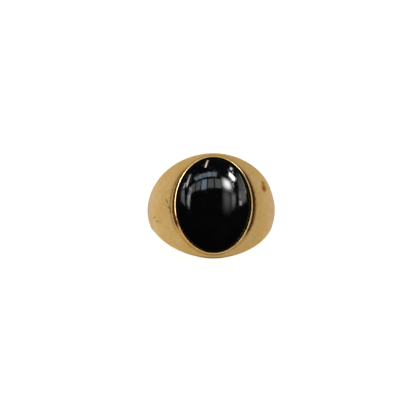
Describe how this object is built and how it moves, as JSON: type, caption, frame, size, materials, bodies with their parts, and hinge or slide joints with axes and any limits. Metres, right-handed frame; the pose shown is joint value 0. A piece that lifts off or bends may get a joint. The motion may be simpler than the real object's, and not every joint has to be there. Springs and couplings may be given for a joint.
{
  "type": "cabochon signet ring",
  "caption": "Man's signet ring: a tapering yellow metal band flaring to an oval head, with a polished black oval cabochon in a thin bezel.",
  "frame": {"origin": "lowest point of the shank's outside, straight under the centre of the stone, which is the centre of the bounding box's bottom face", "axes": "+Z from the back of the shank up through the centre of the stone, +Y along the finger bore and along the stone's long axis, +X across the finger"},
  "size_m": [0.023, 0.0184, 0.0257],
  "materials": {
    "band_gold": "worn polish, yellow gold colour",
    "bezel_gold": "bright polish, yellow gold colour",
    "solder": "as flowed, pale gold colour",
    "cement": "set resin cement, dull",
    "onyx": "high polish, black"
  },
  "bodies": {
    "root": {"ring_band": "band_gold", "bezel_collet": "bezel_gold", "solder_seam": "solder", "back_plate": "bezel_gold", "stone_bearing": "bezel_gold", "bedding_cement": "cement", "onyx_cabochon": "onyx"}
  },
  "joints": []
}
